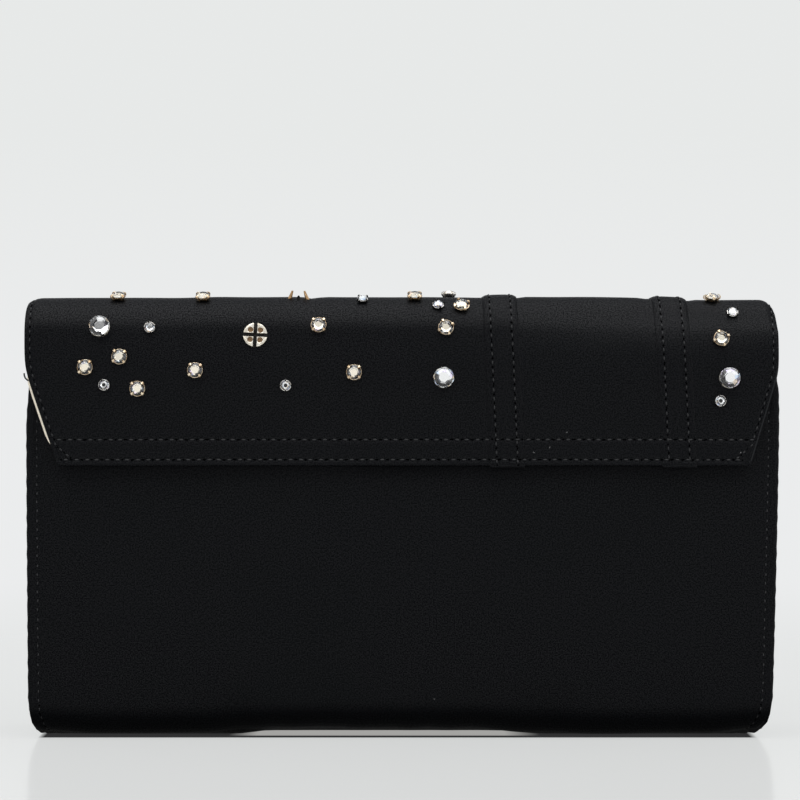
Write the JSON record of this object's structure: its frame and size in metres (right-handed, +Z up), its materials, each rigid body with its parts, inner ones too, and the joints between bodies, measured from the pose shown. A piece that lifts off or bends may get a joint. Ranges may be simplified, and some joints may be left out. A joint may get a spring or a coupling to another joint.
{
  "type": "evening bag",
  "caption": "Black satin flap clutch, wedge-shaped, with a rolled crest, claw-set crystals, stitched bands and a magnetic snap; the flap hinges open on the back seam over a cream-lined compartment",
  "frame": {"origin": "the middle of the base, on the surface that the bag stands on", "axes": "+X to the right as pictured, along the width; the front faces -Y; +Z up"},
  "size_m": [0.26, 0.0503, 0.1545],
  "materials": {
    "satin": "black woven satin",
    "interlining": "felted interlining",
    "lining": "cream lining cloth",
    "board": "card covered with lining cloth",
    "nickel": "bright nickel plate",
    "gilt": "gilt brass",
    "magnet": "bare ferrite",
    "crystal": "cut crystal, foiled back"
  },
  "bodies": {
    "bag_body": {"body_cover": "satin", "body_interlining": "interlining", "body_lining": "lining", "base_board": "board", "left_gusset": "satin", "right_gusset": "satin", "left_gusset_lining": "lining", "right_gusset_lining": "lining", "front_facing": "satin", "back_facing": "satin", "seam_tape": "satin", "pocket_panel": "lining", "pocket_binding": "satin", "snap_cup": "nickel", "snap_magnet": "magnet", "snap_cup_washer": "nickel"},
    "flap": {"flap_cover": "satin", "flap_interlining": "interlining", "flap_lining": "lining", "left_band": "satin", "right_band": "satin", "snap_stud": "nickel", "snap_stud_washer": "nickel", "large_stones": "crystal", "large_settings": "nickel", "medium_stones": "crystal", "medium_settings": "gilt", "small_stones": "crystal", "small_settings": "nickel", "bare_settings": "gilt"}
  },
  "joints": [
    {"name": "flap_hinge", "type": "hinge", "parent": "bag_body", "child": "flap", "pos_m": [0, 0.015, 0.134], "axis": [-1, 0, 0], "range_deg": [0, 165]}
  ]
}
